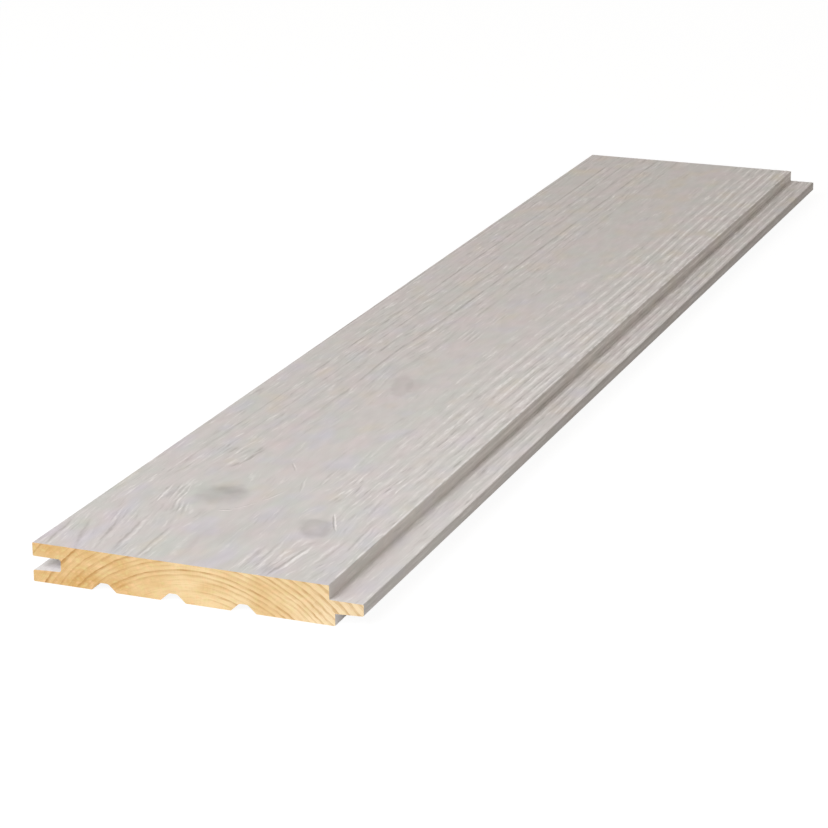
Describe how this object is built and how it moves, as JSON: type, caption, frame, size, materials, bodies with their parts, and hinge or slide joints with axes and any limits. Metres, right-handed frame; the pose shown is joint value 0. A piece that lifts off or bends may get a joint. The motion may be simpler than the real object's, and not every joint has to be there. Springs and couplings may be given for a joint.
{
  "type": "tongue and groove board",
  "caption": "Flat pine lining board with a tongue along one edge, a groove along the other, relief grooves in the back and a brushed, grey-white glazed face.",
  "frame": {"origin": "middle of the board's width over the tongue and of its length, at the level of its back", "axes": "+X across the board towards the tongue, +Y along the board, +Z from the back up to the glazed face"},
  "size_m": [0.12, 0.61, 0.014],
  "materials": {
    "glazed_pine": "matte"
  },
  "bodies": {
    "root": {"board": "glazed_pine"}
  },
  "joints": []
}
